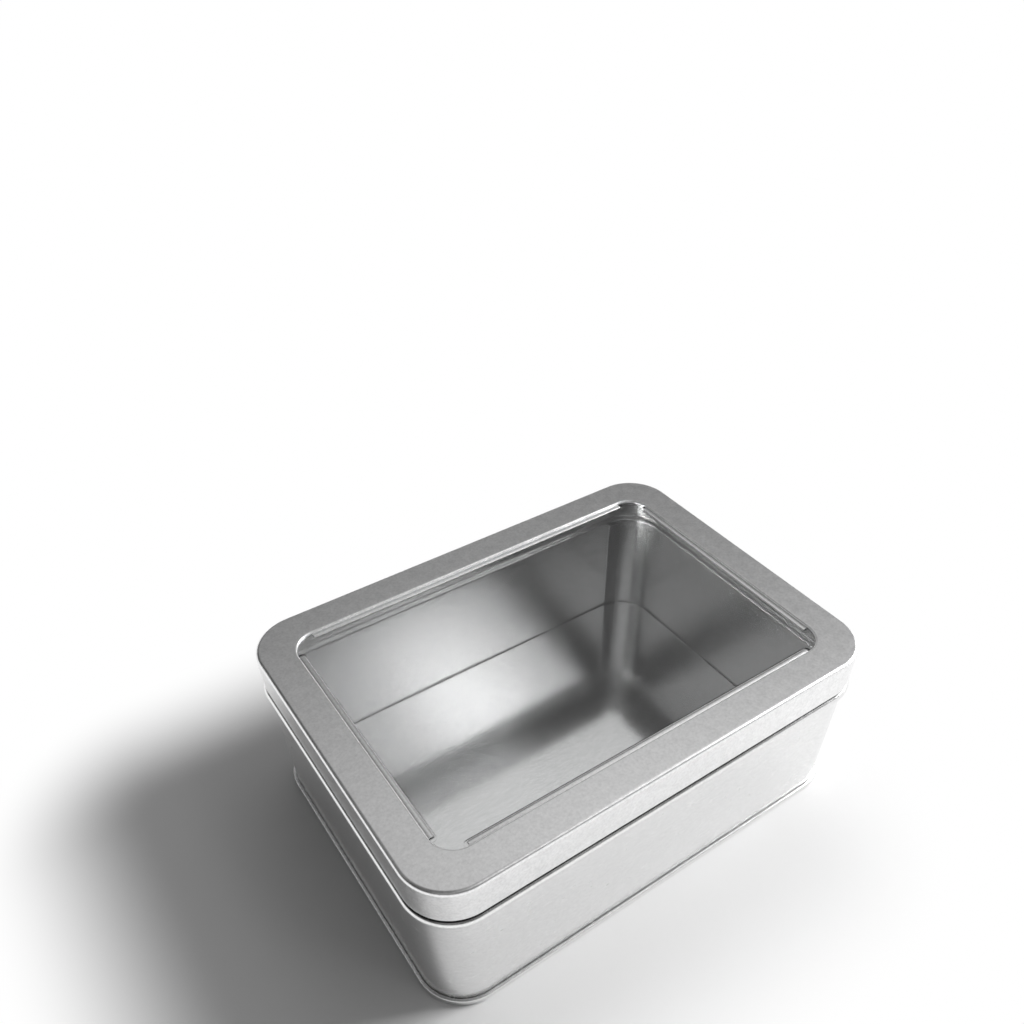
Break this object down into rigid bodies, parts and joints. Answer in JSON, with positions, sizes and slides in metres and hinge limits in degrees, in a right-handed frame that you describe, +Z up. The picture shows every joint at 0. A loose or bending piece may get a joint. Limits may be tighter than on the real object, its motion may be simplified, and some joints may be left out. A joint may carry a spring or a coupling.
{
  "type": "tin box with window lid",
  "caption": "Rectangular tinplate gift box with rounded corners, a rolled bead under the lid and a lift-off lid that has a clear window.",
  "frame": {"origin": "middle of the resting face, under the foot seam", "axes": "+X along the length, +Y along the width, +Z up towards the lid"},
  "size_m": [0.125, 0.092, 0.048],
  "materials": {
    "body_tinplate": "bright tinplate with a fine rolling grain, slightly blurred reflections",
    "bottom_tinplate": "bright tinplate with a fine rolling grain, slightly blurred reflections",
    "lid_tinplate": "bright tinplate with a fine rolling grain, slightly blurred reflections",
    "clear_sheet": "clear thin plastic film, glossy on both faces"
  },
  "bodies": {
    "base": {"body_wall": "body_tinplate", "bottom_plate": "bottom_tinplate"},
    "lid": {"lid_frame": "lid_tinplate", "window_pane": "clear_sheet"}
  },
  "joints": [
    {"name": "lid_lift", "type": "slide", "parent": "base", "child": "lid", "axis": [0, 0, 1], "range_m": [0, 0.06]}
  ]
}
